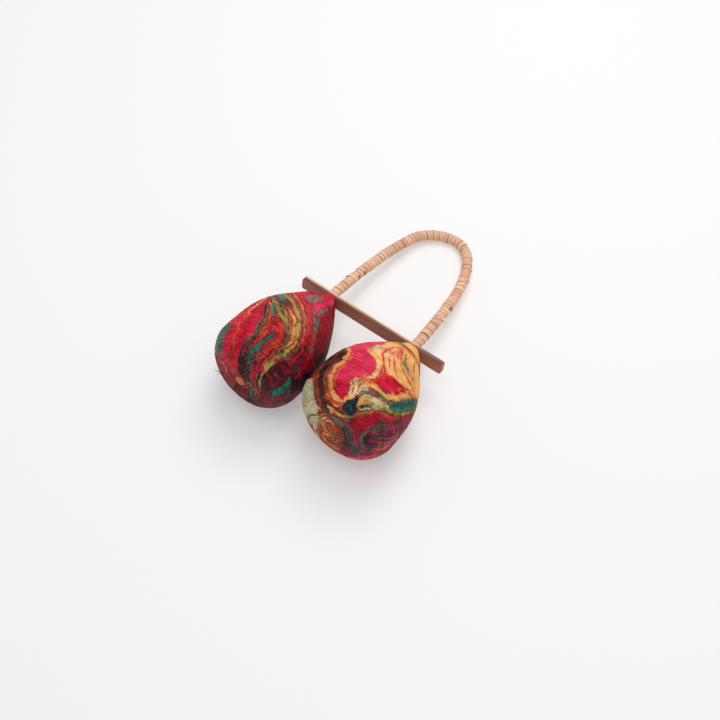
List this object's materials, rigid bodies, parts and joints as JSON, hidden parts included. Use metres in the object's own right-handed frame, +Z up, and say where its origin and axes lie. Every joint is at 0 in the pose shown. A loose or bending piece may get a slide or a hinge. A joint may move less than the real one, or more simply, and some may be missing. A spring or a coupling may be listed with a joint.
{
  "type": "twin maracas",
  "caption": "Twin rattle: pear-shaped shells of wound, marbled strip side by side on a wooden crossbar, with a looped handle wrapped in cane, loose seeds inside.",
  "frame": {"origin": "middle of the footprint on the floor, as the instrument lies on both bulbs and the top of its handle", "axes": "+Z up; +Y from the bulbs to the top of the handle; +X along the crossbar from the left rattle to the right one"},
  "size_m": [0.1512, 0.2246, 0.0779],
  "materials": {
    "slat": "stained wood, thin satin varnish, worn lighter along the edges",
    "cane_core": "plain cane",
    "cane_wrap": "peeled cane strip, satin",
    "left_coil": "wound strip, marbled in red, dark green and teal, satin lacquer",
    "right_coil": "wound strip, marbled in gold, crimson, pale green and teal, satin lacquer",
    "crown_plug": "rolled strip, ochre, satin lacquer",
    "neck_plug": "plain turned wood",
    "seed": "dry seed"
  },
  "bodies": {
    "instrument": {"crossbar": "slat", "handle_core": "cane_core", "wrap_left_leg": "cane_wrap", "wrap_left_shoulder": "cane_wrap", "wrap_arch": "cane_wrap", "wrap_right_shoulder": "cane_wrap", "wrap_right_leg": "cane_wrap", "left_neck_coil": "left_coil", "left_belly_coil": "left_coil", "left_crown_coil": "left_coil", "right_neck_coil": "right_coil", "right_belly_coil": "right_coil", "right_crown_coil": "right_coil", "left_crown_plug": "crown_plug", "right_crown_plug": "crown_plug", "left_neck_plug": "neck_plug", "right_neck_plug": "neck_plug"},
    "left_seed_layer": {"left_seeds": "seed"},
    "right_seed_layer": {"right_seeds": "seed"}
  },
  "joints": [
    {"name": "left_seeds_fly", "type": "slide", "parent": "instrument", "child": "left_seed_layer", "axis": [0, 0, 1], "range_m": [0, 0.052]},
    {"name": "right_seeds_fly", "type": "slide", "parent": "instrument", "child": "right_seed_layer", "axis": [0, 0, 1], "range_m": [0, 0.052]}
  ]
}
